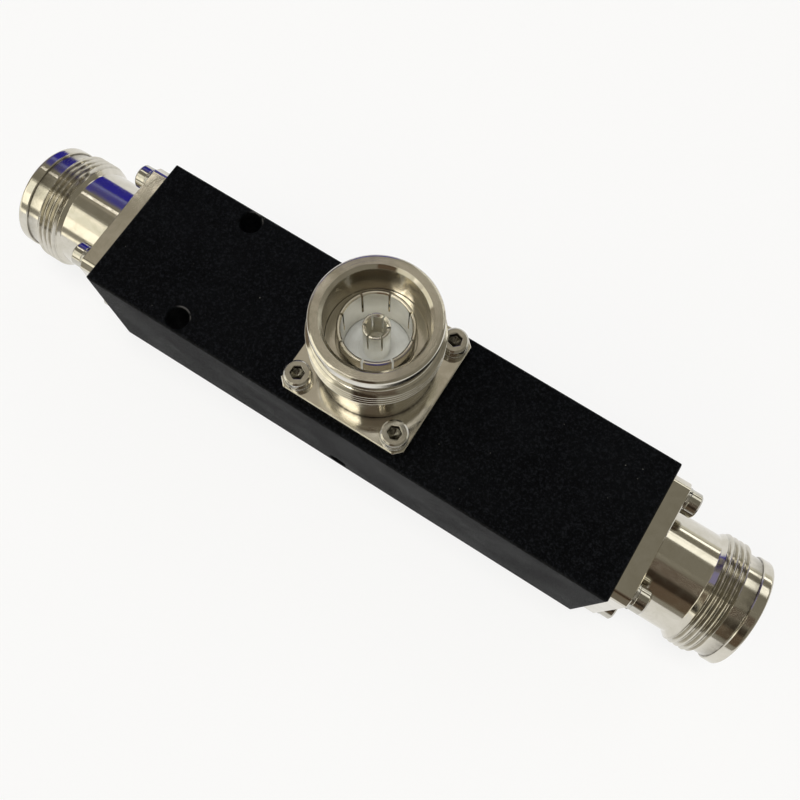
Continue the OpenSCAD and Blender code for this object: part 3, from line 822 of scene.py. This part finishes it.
def turnedMetal(look):
    # plated metal from a lathe: fine marks round the axis stretch its reflections across them, with
    # cloudy handling marks, rare pits, and a duller film in the recesses, darkened as dirt and as painted
    # shade
    material, tree, shader = startMaterial(look["name"])
    own, *turned = turnedPlace(tree)
    recess, coarse, dull = (attribute(tree, name) for name in ("recess", "coarse", "dull"))
    fine = latheMarks(tree, *turned, look["finePerMm"], wear["fineAround"])
    broad = latheMarks(tree, *turned, look["broadPerMm"], wear["broadAround"])
    cloud = noise(tree, own, wear["cloudPerMm"], 5, 0.6, 0.6)
    film = noise(tree, own, wear["filmPerMm"], 3)
    rare, _, away = rareSpots(tree, own, wear["spotsPerMm"], look["pits"])
    pit = sums(tree, "MULTIPLY", rare, ramp(tree, away, *wear["pitRadii"]))
    # painted shade, with some dirt: the recesses darken towards the darkest colour, in clouds
    paintedShadeAndDirt = sums(tree, "MULTIPLY", recess, ramp(tree, film, 0.3, 0.65, *wear["filmShares"]))
    colour = blend(tree, ramp(tree, cloud, 0.3, 0.7), look["colour"], look["tint"])
    colour = blend(tree, ramp(tree, broad, 0.35, 0.75, 0, wear["markTint"]), colour, look["tint"])
    for share in (paintedShadeAndDirt, pit):
        colour = blend(tree, share, colour, look["dirtAndShade"])
    smooth, smudge = look["roughness"], look["smudge"]
    roughness = ramp(tree, cloud, 0.32, 0.72, smooth - smudge / 2, smooth + smudge)
    roughness = sums(tree, "ADD", roughness, dull)
    rough = sums(tree, "MULTIPLY", sums(tree, "MAXIMUM", recess, coarse), wear["coarseRoughness"])
    roughness = sums(tree, "ADD", roughness, rough)
    height = sums(tree, "ADD", sums(tree, "MULTIPLY", fine, wear["fineHeight"]), broad)
    deeper = sums(tree, "ADD", sums(tree, "MULTIPLY", coarse, wear["coarseDepth"]), 1)
    height = sums(tree, "MULTIPLY", height, deeper)
    height = sums(tree, "SUBTRACT", height, sums(tree, "MULTIPLY", pit, wear["pitDepth"]))
    setSockets(tree, shader, {
        "Base Color": colour, "Metallic": 1, "Roughness": roughness,
        "Normal": bump(tree, height, look["grooveMm"]), "Tangent": attribute(tree, "around", "Vector"),
        "Anisotropic": look["anisotropy"], "Anisotropic Rotation": 0.25,
    })
    return material


# coat: black lacquer over a blasted surface, creased like fine leather; a speck's radius is in cells
coat = {
    "colour": (0.0004, 0.0005, 0.0008), "dust": (0.0032, 0.0038, 0.005), "grain": (0.012, 0.0135, 0.0175),
    # the rubbed edges' colour is real wear; the last colour is the painted highlight round the holes
    "wearAndGlint": (0.02, 0.02, 0.019), "speck": (0.14, 0.14, 0.135), "holeGlint": (0.1, 0.1, 0.105),
    "creasePerMm": 1.9, "grainPerMm": 2.6, "cloudPerMm": 0.09, "creaseMm": 0.13, "grainHeight": 0.6,
    "roughness": 0.55, "unevenness": 0.05, "polish": 0.15, "gloss": 0.052,
    "specksPerMm": 0.8, "speckShare": 0.13, "speckRadius": 0.035, "speckSpread": 0.05,
    "edgeMm": 0.32, "edgeFullMm": 0.05, "edgeUnevenMm": 0.5, "rubShare": 0.5,
    # the two holes in the top: distance from the middle along the bar and to each side, the radius of
    # the mouth, where a ring of painted highlight lies, and the way that its lit side lies
    "holes": (-31.65, 10.2, 2.02), "glintSide": (0.26, 0.97), "glintPerMm": 1.4,
    # where the painted highlight starts and is full: off the mouth's edge, below the top, and as shares
    # of the mouth's radius towards its lit side
    "glintEdgeMm": (0.2, 0.08), "glintBelowMm": (0.35, 0.2), "glintFacing": (0.45, 0.95),
}


def edgeRub(tree, place, half, crease):
    # 1 where two of the three distances to the bar's sides are small, by the middle one of them, which
    # is their sum less the least and the most
    inside = vectorSums(tree, "SUBTRACT", half, vectorSums(tree, "ABSOLUTE", place))
    gap = splitUp(tree, inside)
    least, most, total = (
        sums(tree, way, sums(tree, way, gap["X"], gap["Y"]), gap["Z"])
        for way in ("MINIMUM", "MAXIMUM", "ADD")
    )
    second = sums(tree, "SUBTRACT", sums(tree, "SUBTRACT", total, least), most)
    wave = sums(tree, "MULTIPLY", sums(tree, "SUBTRACT", crease, 0.5), coat["edgeUnevenMm"])
    return ramp(tree, sums(tree, "ADD", second, wave), coat["edgeMm"], coat["edgeFullMm"])


def paintedHoleGlint(tree, place, half):
    # painted highlight: patches of a ring round each hole's mouth, on its lit side and near the top face
    # only
    along, across, mouth = coat["holes"]
    spot = splitUp(tree, place)
    nearer = sums(tree, "MULTIPLY", sums(tree, "SIGN", spot["Y"]), across)
    offside = sums(tree, "SUBTRACT", spot["Y"], nearer)
    flat = joined(tree, sums(tree, "SUBTRACT", spot["X"], along), offside)
    away = vectorSums(tree, "LENGTH", flat, output="Value")
    facing = vectorSums(tree, "DOT_PRODUCT", flat, (*coat["glintSide"], 0), output="Value")
    # painted highlight: a ring round the mouth, cut down to its lit side, the top and patches
    wearAndGlint = ramp(tree, sums(tree, "ABSOLUTE", sums(tree, "SUBTRACT", away, mouth)), *coat["glintEdgeMm"])
    for share in (
        ramp(tree, sums(tree, "ABSOLUTE", spot["Z"]), *(half[2] - below for below in coat["glintBelowMm"])),
        ramp(tree, facing, *(mouth * part for part in coat["glintFacing"])),
        ramp(tree, noise(tree, place, coat["glintPerMm"], 3), 0.35, 0.6),
    ):
        wearAndGlint = sums(tree, "MULTIPLY", wearAndGlint, share)
    return wearAndGlint


def blackCoat():
    # creases, grain, faint dust clouds, tiny pale specks, a rub along the bar's edges and a painted
    # highlight in patches round the holes, each laid over the colour before it
    material, tree, shader = startMaterial("creasedBlack")
    centre, half = (bar[0] + bar[1]) / 2 / mm, (bar[1] - bar[0]) / 2 / mm
    place = addNode(tree, "TexCoord").outputs["Object"]
    inputs = {"Vector": place, "Location": -centre, "Scale": (1 / mm,) * 3}
    place = addNode(tree, "Mapping", inputs).outputs[0]
    crease = noise(tree, place, coat["creasePerMm"], 3, 0.62, 1.3)
    grain = noise(tree, place, coat["grainPerMm"], 2, 0.7, 0.4)
    cloud = noise(tree, place, coat["cloudPerMm"], 4, 0.6)
    fold = sums(tree, "ABSOLUTE", sums(tree, "MULTIPLY", sums(tree, "SUBTRACT", crease, 0.5), 4))
    ridge = sums(tree, "SUBTRACT", 1, fold)
    rare, size, away = rareSpots(tree, place, coat["specksPerMm"], coat["speckShare"])
    size = sums(tree, "ADD", sums(tree, "MULTIPLY", size, coat["speckSpread"]), coat["speckRadius"])
    speck = sums(tree, "MULTIPLY", rare, sums(tree, "LESS_THAN", away, size))
    # the second mask is the painted highlight round the holes' mouths
    rub, holeGlint = edgeRub(tree, place, half, crease), paintedHoleGlint(tree, place, half)
    colour = coat["colour"]
    for share, over in (
        (ramp(tree, cloud, 0.35, 0.7, 0, 0.8), "dust"), (ramp(tree, ridge, 0.2, 0.95, 0, 0.7), "dust"),
        (ramp(tree, grain, 0.46, 0.72), "grain"), (speck, "speck"),
        (sums(tree, "MULTIPLY", rub, coat["rubShare"]), "wearAndGlint"), (holeGlint, "holeGlint"),
    ):
        colour = blend(tree, share, colour, coat[over])
    dull, shiny = coat["roughness"] + coat["unevenness"], coat["roughness"] - coat["unevenness"]
    polish = sums(tree, "MULTIPLY", sums(tree, "MAXIMUM", rub, holeGlint), coat["polish"])
    roughness = sums(tree, "SUBTRACT", ramp(tree, cloud, 0.3, 0.7, dull, shiny), polish)
    height = sums(tree, "ADD", ridge, sums(tree, "MULTIPLY", grain, coat["grainHeight"]))
    setSockets(tree, shader, {
        "Base Color": colour, "Roughness": roughness, "Normal": bump(tree, height, coat["creaseMm"]),
        "Specular IOR Level": coat["gloss"],
    })
    return material


# plastic: turned white fluoropolymer, a little blue and cloudy
plastic = {
    "colour": (0.76, 0.79, 0.8), "tint": (0.67, 0.69, 0.69), "dirtAndShade": (0.42, 0.41, 0.36), "dirtShare": 0.25,
    "marksPerMm": 5, "marksAround": 0.05, "cloudPerMm": 0.6, "grooveMm": 0.004,
    "roughness": 0.36, "gloss": 0.4, "milky": 0.25, "milkyMm": 0.6, "milkyColour": (0.9, 0.95, 1.0),
}


def turnedPlastic():
    # clouds of a second tint, dirt in the lathe's marks, and some light let in under the surface
    material, tree, shader = startMaterial("whitePlastic")
    own, *turned = turnedPlace(tree)
    marks = latheMarks(tree, *turned, plastic["marksPerMm"], plastic["marksAround"])
    cloud = noise(tree, own, plastic["cloudPerMm"], 4)
    colour = blend(tree, ramp(tree, cloud, 0.3, 0.7), plastic["colour"], plastic["tint"])
    colour = blend(tree, ramp(tree, marks, 0.5, 0.8, 0, plastic["dirtShare"]), colour, plastic["dirtAndShade"])
    roughness = ramp(tree, cloud, 0.3, 0.7, plastic["roughness"] - 0.04, plastic["roughness"] + 0.06)
    setSockets(tree, shader, {
        "Base Color": colour, "Roughness": roughness, "Normal": bump(tree, marks, plastic["grooveMm"]),
        "Subsurface Weight": plastic["milky"], "Subsurface Radius": plastic["milkyColour"],
        "Subsurface Scale": plastic["milkyMm"] * mm, "Specular IOR Level": plastic["gloss"],
    })
    return material


# rubber: black with a moulded grain and a dusty bloom
rubber = {
    "colour": (0.012, 0.012, 0.012), "bloom": (0.04, 0.039, 0.037), "grainPerMm": 6, "bloomPerMm": 0.7,
    "grainMm": 0.01, "roughness": 0.62, "unevenness": 0.08,
}


def mouldedRubber():
    # the bloom is paler and rougher than the rubber under it
    material, tree, shader = startMaterial("blackRubber")
    own = attribute(tree, "turned", "Vector")
    grain = noise(tree, own, rubber["grainPerMm"], 3)
    bloom = noise(tree, own, rubber["bloomPerMm"], 3)
    shiny, dull = rubber["roughness"] - rubber["unevenness"], rubber["roughness"] + rubber["unevenness"]
    setSockets(tree, shader, {
        "Base Color": blend(tree, ramp(tree, bloom, 0.4, 0.75), rubber["colour"], rubber["bloom"]),
        "Roughness": ramp(tree, bloom, 0.3, 0.7, shiny, dull),
        "Normal": bump(tree, grain, rubber["grainMm"]),
    })
    return material


# brass: drawn rod, marked along its length, with a thin brown tarnish
brass = {
    "colour": (0.76, 0.6, 0.33), "tarnish": (0.45, 0.3, 0.15), "tarnishShare": 0.7, "roughness": 0.24,
    "drawPerMm": 5, "stretch": 0.06, "drawMm": 0.004, "cloudPerMm": 0.3,
}


def drawnBrass(longAxis):
    # noise stretched along the rod's own axis
    material, tree, shader = startMaterial("drawnBrass" + "XYZ"[longAxis])
    even = [1 / mm] * 3
    stretched = list(even)
    stretched[longAxis] = brass["stretch"] / mm
    place = addNode(tree, "TexCoord").outputs["Object"]
    drawn, plain = (
        addNode(tree, "Mapping", {"Vector": place, "Scale": scale}).outputs[0]
        for scale in (stretched, even)
    )
    marks = noise(tree, drawn, brass["drawPerMm"], 3)
    cloud = noise(tree, plain, brass["cloudPerMm"], 5, distortion=0.5)
    tarnished = ramp(tree, cloud, 0.4, 0.8, 0, brass["tarnishShare"])
    setSockets(tree, shader, {
        "Base Color": blend(tree, tarnished, brass["colour"], brass["tarnish"]), "Metallic": 1,
        "Roughness": ramp(tree, cloud, 0.3, 0.7, brass["roughness"] - 0.05, brass["roughness"] + 0.1),
        "Normal": bump(tree, marks, brass["drawMm"]),
    })
    return material


looks = {slot: turnedMetal(look) for slot, look in metals.items()}
looks.update({"black_coat": blackCoat(), "insulator": turnedPlastic(), "seal": mouldedRubber()})
rods = {"line_conductor": drawnBrass(0), "tap_conductor": drawnBrass(2)}
for row in frame["record"]["subparts"]:
    node = frame["nodes"][row["node"]]
    node.data.materials.clear()
    node.data.materials.append(rods.get(row["node"]) or looks[row["material_slot"]])
print("finishes set:", len(looks) + len(rods))

pieces = {
    # node: (what makes its mesh, slot, what fills the attributes that aren't 0 on it)
    "shell": (makeShell, "shell_plate", {"recess": shellRecess, "coarse": shellCoarse, "dull": shellDull}),
    "center_contact": (makeCentreContact, "contact_silver", {"dull": socketDull}),
    "outer_contact": (makeOuterContact, "contact_plate", {}),
    "insulator": (makeInsulator, "insulator", {}),
    "seal": (makeSeal, "seal", {}),
    "screws": (makeScrew, "stainless", {"recess": screwRecess}),
    "lock_washers": (makeWasher, "washer_steel", {}),
}
for node, (makeMesh, slot, fillers) in pieces.items():
    mesh = makeMesh()
    own = placeOf(mesh)
    if node in ("screws", "lock_washers"):
        mesh, own = repeatAtScrews(mesh)
    marks = {name: fill(own) for name, fill in fillers.items()}
    for port in ports:
        turns = shell["quarterTurns"][port] if node == "shell" else 0
        standAtPort(mesh, port, node, looks[slot], turns, own, marks)
    print(node, "placed at three ports:", len(mesh.vertices), "points each")
